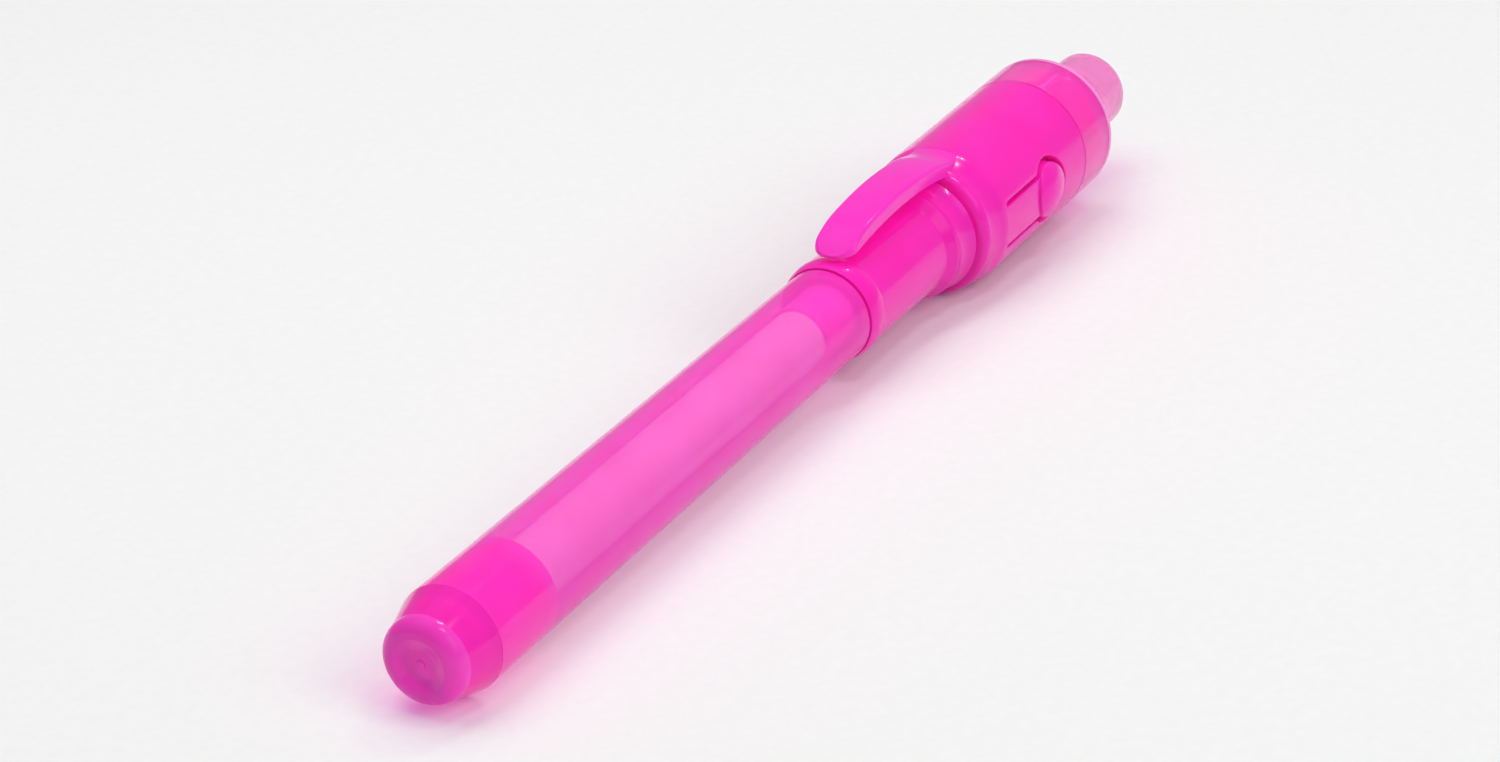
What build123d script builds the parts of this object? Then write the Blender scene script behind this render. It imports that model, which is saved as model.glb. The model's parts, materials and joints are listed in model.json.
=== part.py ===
"""Invisible ink pen with an ultraviolet lamp in its cap.

The pen lies along +X, from the tail (x = 0) to the lamp. Its axis is the X axis,
the pocket clip is on top (+Z) and the press button faces -Y. Sizes are in millimetres.
"""

import math
import os

from build123d import *

os.makedirs("parts", exist_ok=True)

# Clearances
PUSH_FIT = 0.05  # round pieces that are pressed together for good
SLIDE_FIT = 0.08  # round pieces that pull off
SEAM = 0.15  # between end faces that meet when the pen is closed
ROOT_FIT = 0.1  # round the root of a bending tongue
SLIT = 0.4  # slits beside the tongue of the press button
BUTTON_SLIT = 0.6  # slit round the press button itself

# Tail plug
TAIL_NUB_RADIUS = 3.95
TAIL_NUB_LENGTH = 1.6
TAIL_NUB_ROUND = 0.8
SHOULDER_LENGTH = 3.4
PLUG_SPIGOT_LENGTH = 9.0
PLUG_WALL = 1.1

# Barrel
BARREL_LENGTH = 67.1
BARREL_BORE = 3.1
BARREL_TAIL_WALL = 1.8
BARREL_FRONT_WALL = 1.48
FILM_THICKNESS = 0.15

# Nib section and nib
SECTION_SPIGOT_LENGTH = 5.7
NECK_STEP = 0.85
NECK_LENGTH = 12.2
NOSE_LENGTH = 6.6
NOSE_RIM = 0.6
NIB_RADIUS = 1.1
NIB_IN_RESERVOIR = 6.0
NIB_REACH = 2.0
NIB_TIP_RADIUS = 0.5

# Cap sleeve
SLEEVE_WALL = 0.75
SLEEVE_LENGTH = 15.85
BEAD_LENGTH = 2.6
BEAD_HEIGHT = 0.18
COLLAR_LENGTH = 4.9
COLLAR_FLARE = 1.1
COLLAR_HEIGHT = 0.75
COLLAR_WAIST = 0.1
COLLAR_END_HEIGHT = 1.27
SLEEVE_SPIGOT_WALL = 0.95
NIB_ROOM = 1.7
CAP_END_WALL = 1.5

# Light housing
HOUSING_WALL = 1.0
HOUSING_TAPER = 0.57
TAPER_LENGTH = 3.4
RIM_LENGTH = 1.2
RIM_DROP = 0.53
HOUSING_SPARE = 1.45

# Pocket clip
CLIP_THICKNESS = 1.4
CLIP_ROOT_WIDTH = 4.8
CLIP_TIP_WIDTH = 4.2
CLIP_TIP_ROUND = 1.7
CLIP_EDGE_ROUND = 0.3
CLIP_TIP_INSET = 0.9
CLIP_TIP_GAP = 0.4
CLIP_CREST_GAP = 1.17
CLIP_ROOT_INSET = 1.9
CLIP_ROOT_DEPTH = 0.2

# Press button
BUTTON_RADIUS = 2.75
BUTTON_RISE = 0.8
BUTTON_ROUND = 0.5
TONGUE_WIDTH = 4.0
TONGUE_LENGTH = 9.5
TONGUE_ROOT_INSET = 0.9
PUSHER_RADIUS = 0.9
PUSHER_LENGTH = 0.25
PUSH_GAP = 0.75

# Cells and contact
CELL_COUNT = 3
CELL_RADIUS = 3.95
CELL_HEIGHT = 3.6
CELL_CAP_RADIUS = 2.9
CELL_CAP_HEIGHT = 0.25
CELL_EDGE_ROUND = 0.3
CELL_FIT = 0.1
INSULATION = 0.4
STRIP_THICKNESS = 0.18
STRIP_WIDTH = 2.4
STRIP_PAST_BUTTON = 1.5
CONTACT_GAP = 0.17

# Battery carrier
CARRIER_END_WALL = 0.8
CARRIER_FRONT_WALL = 1.0
CHANNEL_MARGIN = 0.6
LEAD_HOLE_RADIUS = 2.0
STEM_WALL = 1.5
LAMP_SEAT = 1.0

# Lamp
LAMP_RADIUS = 2.5
LAMP_FLANGE_RADIUS = 2.9
LAMP_FLANGE_LENGTH = 1.0
LAMP_LENGTH = 8.6
LEAD_SIZE = 0.4
LEAD_PITCH = 2.54
LEAD_IN_LAMP = 2.2
LEAD_BEND = 0.6
LEAD_PAST_BUTTON = 2.0

# Light cap
LIGHT_SPIGOT_LENGTH = 4.2
LIGHT_SPIGOT_WALL = 1.0
RING_LENGTH = 6.8
RING_ROUND = 0.6
RING_END_WALL = 1.2
LAMP_ROOM = 0.15
LIGHT_NUB_WALL = 1.0
LIGHT_NUB_ROUND = 1.3
NUB_FOOT_ROUND = 0.5
LENS_THICKNESS = 3.6

# Radii that follow
barrel_tail_radius = BARREL_BORE + BARREL_TAIL_WALL
barrel_front_radius = BARREL_BORE + BARREL_FRONT_WALL
film_radius = BARREL_BORE - PUSH_FIT
fibre_radius = film_radius - FILM_THICKNESS - PUSH_FIT
spigot_radius = BARREL_BORE - PUSH_FIT
neck_radius = BARREL_BORE + NECK_STEP
nib_bore = NIB_RADIUS + PUSH_FIT
cap_bore = neck_radius + SLIDE_FIT
sleeve_radius = cap_bore + SLEEVE_WALL
bead_radius = sleeve_radius + BEAD_HEIGHT
collar_radius = sleeve_radius + COLLAR_HEIGHT
collar_waist_radius = collar_radius - COLLAR_WAIST
collar_end_radius = sleeve_radius + COLLAR_END_HEIGHT
sleeve_spigot_radius = cap_bore + SLEEVE_SPIGOT_WALL
cell_bore = CELL_RADIUS + CELL_FIT
strip_inner = cell_bore + INSULATION + PUSH_FIT
strip_outer = strip_inner + STRIP_THICKNESS
lead_side = strip_outer + CONTACT_GAP + LEAD_SIZE / 2
housing_bore = lead_side + LEAD_SIZE / 2 + PUSH_GAP + PUSHER_LENGTH
housing_radius = housing_bore + HOUSING_WALL
housing_rim_radius = housing_radius - HOUSING_TAPER
housing_front_radius = housing_rim_radius - RIM_DROP
drum_radius = housing_bore - PUSH_FIT
light_spigot_radius = housing_bore - SLIDE_FIT
light_spigot_bore = light_spigot_radius - LIGHT_SPIGOT_WALL
stem_radius = light_spigot_bore - SEAM
lamp_bore = LAMP_FLANGE_RADIUS + LAMP_ROOM
light_nub_radius = lamp_bore + LIGHT_NUB_WALL

# Stations along the axis that follow
barrel_x0 = TAIL_NUB_LENGTH + SHOULDER_LENGTH
barrel_x1 = barrel_x0 + BARREL_LENGTH
reservoir_x0 = barrel_x0 + PLUG_SPIGOT_LENGTH + SEAM
section_x0 = barrel_x1 - SECTION_SPIGOT_LENGTH
reservoir_x1 = section_x0 - SEAM
nose_x0 = barrel_x1 + NECK_LENGTH
nose_x1 = nose_x0 + NOSE_LENGTH
nib_x0 = reservoir_x1 - NIB_IN_RESERVOIR
nib_x1 = nose_x1 + NIB_REACH
cap_x0 = barrel_x1 + SEAM
collar_x0 = cap_x0 + SLEEVE_LENGTH
collar_crest_x = collar_x0 + COLLAR_FLARE
housing_x0 = collar_x0 + COLLAR_LENGTH
cap_bore_x1 = max(nib_x1, housing_x0) + NIB_ROOM
sleeve_x1 = cap_bore_x1 + CAP_END_WALL
chamber_x0 = sleeve_x1 + SEAM
carrier_x0 = chamber_x0 + PUSH_FIT
cells_x0 = carrier_x0 + CARRIER_END_WALL + STRIP_THICKNESS + PUSH_FIT
cells_x1 = cells_x0 + CELL_COUNT * CELL_HEIGHT
drum_x1 = cells_x1 + CELL_FIT + CARRIER_FRONT_WALL
tongue_x0 = chamber_x0 + TONGUE_ROOT_INSET
button_x = tongue_x0 + TONGUE_LENGTH
light_spigot_x0 = drum_x1 + HOUSING_SPARE
housing_x1 = light_spigot_x0 + LIGHT_SPIGOT_LENGTH
ring_x0 = housing_x1 + SEAM
ring_x1 = ring_x0 + RING_LENGTH
lamp_x0 = ring_x1 - RING_END_WALL - SEAM
lamp_tip = lamp_x0 + LAMP_LENGTH
lamp_bore_x1 = lamp_tip + LAMP_ROOM
light_nub_x1 = lamp_bore_x1 + LENS_THICKNESS


# Tail plug: the flange stays outside the barrel and the hollow spigot is pressed in
with BuildPart() as tail_plug:
    with BuildSketch(Plane.XY):
        with BuildLine():
            Polyline(
                (0, 0),
                (0, TAIL_NUB_RADIUS),
                (TAIL_NUB_LENGTH, TAIL_NUB_RADIUS),
                (barrel_x0, barrel_tail_radius),
                (barrel_x0, spigot_radius),
                (barrel_x0 + PLUG_SPIGOT_LENGTH, spigot_radius),
                (barrel_x0 + PLUG_SPIGOT_LENGTH, spigot_radius - PLUG_WALL),
                (barrel_x0, spigot_radius - PLUG_WALL),
                (barrel_x0, 0),
                close=True,
            )
        make_face()
    revolve(axis=Axis.X)
    fillet(tail_plug.edges().filter_by(GeomType.CIRCLE).group_by(Axis.X)[0], TAIL_NUB_ROUND)
tail_plug.part.label = "tail_plug"
export_step(tail_plug.part, "parts/tail_plug.step")

# Barrel: straight bore, outside drawn in a little towards the cap
with BuildPart() as barrel:
    with BuildSketch(Plane.XY):
        with BuildLine():
            Polyline(
                (barrel_x0, BARREL_BORE),
                (barrel_x0, barrel_tail_radius),
                (barrel_x1, barrel_front_radius),
                (barrel_x1, BARREL_BORE),
                close=True,
            )
        make_face()
    revolve(axis=Axis.X)
barrel.part.label = "barrel"
export_step(barrel.part, "parts/barrel.step")

# Film round the ink reservoir
with BuildPart() as reservoir_film:
    with BuildSketch(Plane.YZ.offset(reservoir_x0)):
        Circle(film_radius)
        Circle(film_radius - FILM_THICKNESS, mode=Mode.SUBTRACT)
    extrude(amount=reservoir_x1 - reservoir_x0)
reservoir_film.part.label = "reservoir_film"
export_step(reservoir_film.part, "parts/reservoir_film.step")

# Ink reservoir: fibre rod with the hole that the nib's tail has pushed into it
with BuildPart() as ink_reservoir:
    with BuildSketch(Plane.YZ.offset(reservoir_x0)):
        Circle(fibre_radius)
    extrude(amount=reservoir_x1 - reservoir_x0)
    with BuildSketch(Plane.YZ.offset(nib_x0 - PUSH_FIT)):
        Circle(nib_bore)
    extrude(amount=reservoir_x1 - nib_x0 + PUSH_FIT, mode=Mode.SUBTRACT)
ink_reservoir.part.label = "ink_reservoir"
export_step(ink_reservoir.part, "parts/ink_reservoir.step")

# Nib section: spigot in the barrel, neck for the cap and nose cone
with BuildPart() as nib_section:
    with BuildSketch(Plane.XY):
        with BuildLine():
            Polyline(
                (section_x0, nib_bore),
                (section_x0, spigot_radius),
                (barrel_x1, spigot_radius),
                (barrel_x1, neck_radius),
                (nose_x0, neck_radius),
                (nose_x1, nib_bore + NOSE_RIM),
                (nose_x1, nib_bore),
                close=True,
            )
        make_face()
    revolve(axis=Axis.X)
nib_section.part.label = "nib_section"
export_step(nib_section.part, "parts/nib_section.step")

# Nib: fibre rod with a blunt writing tip
with BuildPart() as nib:
    with BuildSketch(Plane.XY):
        with BuildLine():
            Polyline(
                (nib_x1 - NIB_TIP_RADIUS, NIB_TIP_RADIUS),
                (nose_x1, NIB_RADIUS),
                (nib_x0, NIB_RADIUS),
                (nib_x0, 0),
                (nib_x1, 0),
            )
            RadiusArc((nib_x1, 0), (nib_x1 - NIB_TIP_RADIUS, NIB_TIP_RADIUS), -NIB_TIP_RADIUS)
        make_face()
    revolve(axis=Axis.X)
nib.part.label = "nib"
export_step(nib.part, "parts/nib.step")

# Cap sleeve: rounded mouth bead, slim tube, waisted collar and the spigot inside the housing
with BuildPart() as cap_sleeve:
    with BuildSketch(Plane.XY):
        with BuildLine():
            bead = ThreePointArc(
                (cap_x0, sleeve_radius),
                (cap_x0 + BEAD_LENGTH / 2, bead_radius),
                (cap_x0 + BEAD_LENGTH, sleeve_radius),
            )
            Polyline(
                bead @ 1,
                (collar_x0, sleeve_radius),
                (collar_crest_x, collar_radius),
            )
            waist = ThreePointArc(
                (collar_crest_x, collar_radius),
                ((collar_crest_x + housing_x0) / 2, collar_waist_radius),
                (housing_x0, collar_end_radius),
            )
            Polyline(
                waist @ 1,
                (housing_x0, sleeve_spigot_radius),
                (sleeve_x1, sleeve_spigot_radius),
                (sleeve_x1, 0),
                (cap_bore_x1, 0),
                (cap_bore_x1, cap_bore),
                (cap_x0, cap_bore),
                bead @ 0,
            )
        make_face()
    revolve(axis=Axis.X)
cap_sleeve.part.label = "cap_sleeve"
export_step(cap_sleeve.part, "parts/cap_sleeve.step")

# Where the clip and the button bend
clip_root_x = housing_x0 + CLIP_ROOT_INSET
taper_share = (CLIP_ROOT_INSET - RIM_LENGTH) / (TAPER_LENGTH - RIM_LENGTH)
clip_root_z = housing_rim_radius + HOUSING_TAPER * min(max(taper_share, 0), 1) - CLIP_ROOT_DEPTH
clip_root_radius = CLIP_THICKNESS / 2
clip_tip_x = cap_x0 + CLIP_TIP_INSET
clip_tip_top = bead_radius + CLIP_TIP_GAP + CLIP_THICKNESS
clip_crest_x = (clip_tip_x + clip_root_x) / 2
clip_crest_top = collar_radius + CLIP_CREST_GAP + CLIP_THICKNESS
tongue_root_radius = HOUSING_WALL / 2
tongue_root_y = -math.sqrt((housing_bore + tongue_root_radius) ** 2 - (TONGUE_WIDTH / 4) ** 2)

# Side view of the clip: an arch of even thickness, up to its root
with BuildSketch(Plane.XZ) as clip_side:
    with BuildLine():
        top = ThreePointArc(
            (clip_tip_x, clip_tip_top),
            (clip_crest_x, clip_crest_top),
            (clip_root_x, clip_root_z + clip_root_radius),
        )
        Line(top @ 1, (clip_root_x, clip_root_z - clip_root_radius))
        bottom = ThreePointArc(
            (clip_root_x, clip_root_z - clip_root_radius),
            (clip_crest_x, clip_crest_top - CLIP_THICKNESS),
            (clip_tip_x, clip_tip_top - CLIP_THICKNESS),
        )
        Line(bottom @ 1, top @ 0)
    make_face()

# Room that the clip's root takes in the housing, open upwards behind the root
with BuildSketch(Plane.XZ) as clip_room:
    add(clip_side.sketch_local)
    offset(amount=ROOT_FIT, mode=Mode.REPLACE)
    with Locations((clip_root_x, clip_root_z)):
        Circle(clip_root_radius + ROOT_FIT)
        Rectangle(
            clip_root_radius + ROOT_FIT,
            housing_radius,
            align=(Align.MIN, Align.MIN),
        )

# Outline of the button's tongue, seen from its side, and of the slit round it
with BuildSketch(Plane.XZ) as tongue_outline:
    with Locations((tongue_x0, 0)):
        Rectangle(TONGUE_LENGTH, TONGUE_WIDTH, align=(Align.MIN, Align.CENTER))
    with Locations((button_x, 0)):
        Circle(BUTTON_RADIUS)
with BuildSketch(Plane.XZ) as tongue_window:
    with Locations((tongue_x0 - ROOT_FIT, 0)):
        Rectangle(
            TONGUE_LENGTH + ROOT_FIT, TONGUE_WIDTH + 2 * SLIT, align=(Align.MIN, Align.CENTER)
        )
    with Locations((button_x, 0)):
        Circle(BUTTON_RADIUS + BUTTON_SLIT)

# Light housing: shell with the clip's seat on top and the button's window on its side
with BuildPart() as light_housing:
    with BuildSketch(Plane.XY):
        with BuildLine():
            rim = ThreePointArc(
                (housing_x0, housing_front_radius),
                (housing_x0 + RIM_LENGTH / 3, housing_front_radius + 0.6 * RIM_DROP),
                (housing_x0 + RIM_LENGTH, housing_rim_radius),
            )
            Polyline(
                rim @ 1,
                (housing_x0 + TAPER_LENGTH, housing_radius),
                (housing_x1, housing_radius),
                (housing_x1, housing_bore),
                (chamber_x0, housing_bore),
                (chamber_x0, sleeve_spigot_radius + PUSH_FIT),
                (housing_x0, sleeve_spigot_radius + PUSH_FIT),
                rim @ 0,
            )
        make_face()
    revolve(axis=Axis.X)
    extrude(
        clip_room.sketch, amount=CLIP_ROOT_WIDTH / 2 + ROOT_FIT, both=True, mode=Mode.SUBTRACT
    )
    extrude(tongue_window.sketch, amount=housing_radius, mode=Mode.SUBTRACT)
    with BuildSketch(Plane.XY.offset(-TONGUE_WIDTH / 2 - SLIT)):
        with Locations((tongue_x0, tongue_root_y)):
            Circle(tongue_root_radius + ROOT_FIT)
    extrude(amount=TONGUE_WIDTH + 2 * SLIT, mode=Mode.SUBTRACT)
light_housing.part.label = "light_housing"
export_step(light_housing.part, "parts/light_housing.step")

# Pocket clip: the arch, narrowed to a rounded tip seen from above, and its round root
with BuildPart() as pocket_clip:
    extrude(clip_side.sketch, amount=CLIP_ROOT_WIDTH / 2, both=True)
    with BuildSketch(Plane.XY):
        with BuildLine():
            Polyline(
                (clip_tip_x, -CLIP_TIP_WIDTH / 2),
                (clip_root_x, -CLIP_ROOT_WIDTH / 2),
                (clip_root_x, CLIP_ROOT_WIDTH / 2),
                (clip_tip_x, CLIP_TIP_WIDTH / 2),
                close=True,
            )
        plan = make_face()
        fillet(plan.vertices().group_by(Axis.X)[0], CLIP_TIP_ROUND)
    extrude(amount=clip_crest_top + CLIP_THICKNESS, mode=Mode.INTERSECT)
    upper_face = pocket_clip.faces().filter_by(GeomType.CYLINDER).sort_by(Axis.Z)[-1]
    root_edge = upper_face.edges().sort_by(Axis.X)[-1]
    fillet(upper_face.edges().filter_by(lambda edge: edge != root_edge), CLIP_EDGE_ROUND)
    with BuildSketch(Plane.XZ):
        with Locations((clip_root_x, clip_root_z)):
            Circle(clip_root_radius)
    extrude(amount=CLIP_ROOT_WIDTH / 2, both=True)
pocket_clip.part.label = "pocket_clip"
export_step(pocket_clip.part, "parts/pocket_clip.step")

# Press button: a tongue of the housing wall with a raised round end and a pusher inside
with BuildPart() as press_button:
    with BuildSketch(Plane.YZ.offset(tongue_x0)):
        Circle(housing_radius)
        Circle(housing_bore, mode=Mode.SUBTRACT)
    extrude(amount=TONGUE_LENGTH + BUTTON_RADIUS)
    extrude(tongue_outline.sketch, amount=housing_radius, mode=Mode.INTERSECT)
    with BuildSketch(Plane.XZ.offset(housing_bore)):
        with Locations((button_x, 0)):
            Circle(BUTTON_RADIUS)
    extrude(amount=HOUSING_WALL + BUTTON_RISE)
    fillet(press_button.edges().group_by(Axis.Y)[0], BUTTON_ROUND)
    with BuildSketch(Plane.XZ.offset(housing_bore)):
        with Locations((button_x, 0)):
            Circle(PUSHER_RADIUS)
    extrude(amount=-PUSHER_LENGTH)
    with BuildSketch(Plane.XY.offset(-TONGUE_WIDTH / 2)):
        with Locations((tongue_x0, tongue_root_y)):
            Circle(tongue_root_radius)
    extrude(amount=TONGUE_WIDTH)
press_button.part.label = "press_button"
export_step(press_button.part, "parts/press_button.step")

# Battery carrier: a cradle that is open on the far side, with a stem for the lamp
with BuildPart() as battery_carrier:
    with BuildSketch(Plane.YZ.offset(carrier_x0)):
        Circle(drum_radius)
    extrude(amount=drum_x1 - carrier_x0)
    trough_x0 = carrier_x0 + CARRIER_END_WALL
    trough_length = cells_x1 + CELL_FIT - trough_x0
    with BuildSketch(Plane.YZ.offset(trough_x0)):
        Circle(cell_bore)
        Rectangle(drum_radius, 2 * cell_bore, align=(Align.MIN, Align.CENTER))
    extrude(amount=trough_length, mode=Mode.SUBTRACT)
    channel_width = 2 * (BUTTON_RADIUS + CHANNEL_MARGIN)
    with BuildSketch(Plane.YZ.offset(carrier_x0)):
        with Locations((-cell_bore - INSULATION, 0)):
            Rectangle(drum_radius, channel_width, align=(Align.MAX, Align.CENTER))
    extrude(amount=drum_x1 - carrier_x0, mode=Mode.SUBTRACT)
    with BuildSketch(Plane.YZ.offset(trough_x0)):
        Rectangle(drum_radius, STRIP_WIDTH + 2 * CELL_FIT, align=(Align.MAX, Align.CENTER))
    extrude(amount=STRIP_THICKNESS + PUSH_FIT, mode=Mode.SUBTRACT)
    with BuildSketch(Plane.YZ.offset(drum_x1 - CARRIER_FRONT_WALL - CELL_FIT)):
        Circle(LEAD_HOLE_RADIUS)
    extrude(amount=CARRIER_FRONT_WALL + CELL_FIT, mode=Mode.SUBTRACT)
    with BuildSketch(Plane.YZ.offset(drum_x1)):
        Circle(stem_radius)
        Circle(stem_radius - STEM_WALL, mode=Mode.SUBTRACT)
    extrude(amount=lamp_x0 - drum_x1)
    with BuildSketch(Plane.YZ.offset(lamp_x0)):
        Circle(stem_radius)
        with GridLocations(LEAD_PITCH, 0, 2, 1):
            Rectangle(LEAD_SIZE + 2 * PUSH_FIT, LEAD_SIZE + 2 * PUSH_FIT, mode=Mode.SUBTRACT)
    extrude(amount=-LAMP_SEAT)
    with BuildSketch(Plane.YZ.offset(drum_x1)):
        Rectangle(drum_radius, STRIP_WIDTH, align=(Align.MAX, Align.CENTER))
    extrude(amount=lamp_x0 - LAMP_SEAT - drum_x1, mode=Mode.SUBTRACT)
battery_carrier.part.label = "battery_carrier"
export_step(battery_carrier.part, "parts/battery_carrier.step")

# Button cells: can to the rear, raised cap to the lamp
for index in range(CELL_COUNT):
    cell_x0 = cells_x0 + index * CELL_HEIGHT
    with BuildPart() as button_cell:
        with BuildSketch(Plane.YZ.offset(cell_x0)):
            Circle(CELL_RADIUS)
        extrude(amount=CELL_HEIGHT - CELL_CAP_HEIGHT)
        fillet(button_cell.edges().filter_by(GeomType.CIRCLE), CELL_EDGE_ROUND)
        with BuildSketch(Plane.YZ.offset(cell_x0 + CELL_HEIGHT - CELL_CAP_HEIGHT)):
            Circle(CELL_CAP_RADIUS)
        extrude(amount=CELL_CAP_HEIGHT)
    cell_name = f"button_cell_{index + 1}"
    button_cell.part.label = cell_name
    export_step(button_cell.part, f"parts/{cell_name}.step")

# Contact strip: plate behind the last cell and an arm along the side
with BuildPart() as contact_strip:
    plate_x0 = carrier_x0 + CARRIER_END_WALL
    with BuildSketch(Plane.YZ.offset(plate_x0)):
        Circle(CELL_CAP_RADIUS)
        Rectangle(strip_outer, STRIP_WIDTH, align=(Align.MAX, Align.CENTER))
    extrude(amount=STRIP_THICKNESS)
    with BuildSketch(Plane.XZ.offset(strip_inner)):
        with Locations((plate_x0, 0)):
            Rectangle(
                button_x + STRIP_PAST_BUTTON - plate_x0,
                STRIP_WIDTH,
                align=(Align.MIN, Align.CENTER),
            )
    extrude(amount=STRIP_THICKNESS)
contact_strip.part.label = "contact_strip"
export_step(contact_strip.part, "parts/contact_strip.step")

# Lamp body: flange, straight body and dome, with sockets for its two legs
with BuildPart() as led_lens:
    with BuildSketch(Plane.XY):
        with BuildLine():
            Polyline(
                (lamp_tip - LAMP_RADIUS, LAMP_RADIUS),
                (lamp_x0 + LAMP_FLANGE_LENGTH, LAMP_RADIUS),
                (lamp_x0 + LAMP_FLANGE_LENGTH, LAMP_FLANGE_RADIUS),
                (lamp_x0, LAMP_FLANGE_RADIUS),
                (lamp_x0, 0),
                (lamp_tip, 0),
            )
            RadiusArc((lamp_tip, 0), (lamp_tip - LAMP_RADIUS, LAMP_RADIUS), -LAMP_RADIUS)
        make_face()
    revolve(axis=Axis.X)
    with BuildSketch(Plane.YZ.offset(lamp_x0)):
        with GridLocations(LEAD_PITCH, 0, 2, 1):
            Rectangle(LEAD_SIZE + 2 * PUSH_FIT, LEAD_SIZE + 2 * PUSH_FIT)
    extrude(amount=LEAD_IN_LAMP + PUSH_FIT, mode=Mode.SUBTRACT)
led_lens.part.label = "led_lens"
export_step(led_lens.part, "parts/led_lens.step")

# Straight leg: from the lamp to the cap of the front cell
with BuildPart() as led_cathode_lead:
    with BuildSketch(Plane.YZ.offset(cells_x1)):
        with Locations((LEAD_PITCH / 2, 0)):
            Rectangle(LEAD_SIZE, LEAD_SIZE)
    extrude(amount=lamp_x0 + LEAD_IN_LAMP - cells_x1)
led_cathode_lead.part.label = "led_cathode_lead"
export_step(led_cathode_lead.part, "parts/led_cathode_lead.step")

# Bent leg: from the lamp out to the side, where the button can push it onto the strip
with BuildPart() as led_anode_lead:
    with BuildLine() as leg_route:
        FilletPolyline(
            (lamp_x0 + LEAD_IN_LAMP, -LEAD_PITCH / 2),
            (light_spigot_x0 + LIGHT_SPIGOT_LENGTH / 2, -LEAD_PITCH / 2),
            (drum_x1, -lead_side),
            (button_x - LEAD_PAST_BUTTON, -lead_side),
            radius=LEAD_BEND,
        )
    with BuildSketch(Plane(leg_route.line @ 0, z_dir=leg_route.line % 0)):
        Rectangle(LEAD_SIZE, LEAD_SIZE)
    sweep()
led_anode_lead.part.label = "led_anode_lead"
export_step(led_anode_lead.part, "parts/led_anode_lead.step")

# Light cap: spigot in the housing, end ring and the nub over the lamp
with BuildPart() as light_cap:
    with BuildSketch(Plane.XY):
        with BuildLine():
            Polyline(
                (light_spigot_x0, light_spigot_bore),
                (light_spigot_x0, light_spigot_radius),
                (ring_x0, light_spigot_radius),
                (ring_x0, housing_radius),
                (ring_x1, housing_radius),
                (ring_x1, light_nub_radius),
                (light_nub_x1, light_nub_radius),
                (light_nub_x1, 0),
                (lamp_bore_x1, 0),
            )
            lamp_dome = RadiusArc(
                (lamp_bore_x1, 0), (lamp_bore_x1 - lamp_bore, lamp_bore), -lamp_bore
            )
            Polyline(
                lamp_dome @ 1,
                (ring_x1 - RING_END_WALL, lamp_bore),
                (ring_x1 - RING_END_WALL, light_spigot_bore),
                (light_spigot_x0, light_spigot_bore),
            )
        make_face()
    revolve(axis=Axis.X)
    outer_corners = light_cap.edges().filter_by(GeomType.CIRCLE).group_by(Axis.X)
    fillet(outer_corners[-1], LIGHT_NUB_ROUND)
    end_face_edges = light_cap.edges().filter_by(GeomType.CIRCLE).filter_by(
        lambda edge: math.isclose(edge.center().X, ring_x1)
    )
    fillet(end_face_edges.sort_by(SortBy.RADIUS)[-1], RING_ROUND)
    fillet(end_face_edges.sort_by(SortBy.RADIUS)[0], NUB_FOOT_ROUND)
light_cap.part.label = "light_cap"
export_step(light_cap.part, "parts/light_cap.step")
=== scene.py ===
"""Looks of the invisible ink pen: moulded pink shells over the working pieces of the frame.

The pen lies along +X from the tail to the lamp, the clip is on top and the button faces -Y.
Everything is in metres, in the frame's own axes.
"""

import json
import math

import bmesh
import bpy
from mathutils import Matrix, Vector
from mathutils.geometry import delaunay_2d_cdt


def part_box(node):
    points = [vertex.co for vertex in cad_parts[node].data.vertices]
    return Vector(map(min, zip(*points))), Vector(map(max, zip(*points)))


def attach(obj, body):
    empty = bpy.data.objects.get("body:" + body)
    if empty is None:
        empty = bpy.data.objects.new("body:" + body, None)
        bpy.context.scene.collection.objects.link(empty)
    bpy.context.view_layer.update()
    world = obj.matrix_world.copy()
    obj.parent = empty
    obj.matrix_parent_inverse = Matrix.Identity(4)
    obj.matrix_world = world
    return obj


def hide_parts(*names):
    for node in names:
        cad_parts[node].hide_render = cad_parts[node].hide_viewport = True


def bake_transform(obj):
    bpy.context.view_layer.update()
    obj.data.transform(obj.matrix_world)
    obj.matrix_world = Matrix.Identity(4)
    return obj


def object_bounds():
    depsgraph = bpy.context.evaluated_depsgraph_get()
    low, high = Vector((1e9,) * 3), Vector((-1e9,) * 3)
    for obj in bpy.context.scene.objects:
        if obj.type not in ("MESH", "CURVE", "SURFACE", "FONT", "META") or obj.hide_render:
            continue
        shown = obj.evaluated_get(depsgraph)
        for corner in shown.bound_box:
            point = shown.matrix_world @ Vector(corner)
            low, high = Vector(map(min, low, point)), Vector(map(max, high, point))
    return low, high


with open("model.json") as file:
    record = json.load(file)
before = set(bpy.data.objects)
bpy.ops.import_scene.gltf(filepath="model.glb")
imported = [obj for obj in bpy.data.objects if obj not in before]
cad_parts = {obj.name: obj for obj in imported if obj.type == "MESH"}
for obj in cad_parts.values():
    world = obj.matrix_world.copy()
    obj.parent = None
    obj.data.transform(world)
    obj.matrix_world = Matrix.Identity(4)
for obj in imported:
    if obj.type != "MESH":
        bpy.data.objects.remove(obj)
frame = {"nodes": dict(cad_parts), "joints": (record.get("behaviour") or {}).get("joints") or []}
cad_low, cad_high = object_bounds()

MM = 0.001

# Fineness of the meshes
SEGMENTS = 192
ARC_STEPS = 7
BAR_STEPS = 10
TONGUE_STEPS = 24
CLIP_TIP_STEPS = 12
CLIP_STEPS = 40
SAME_PLACE = 0.002 * MM
WELD = SAME_PLACE / 4
CREASE_ANGLE = 40

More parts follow.
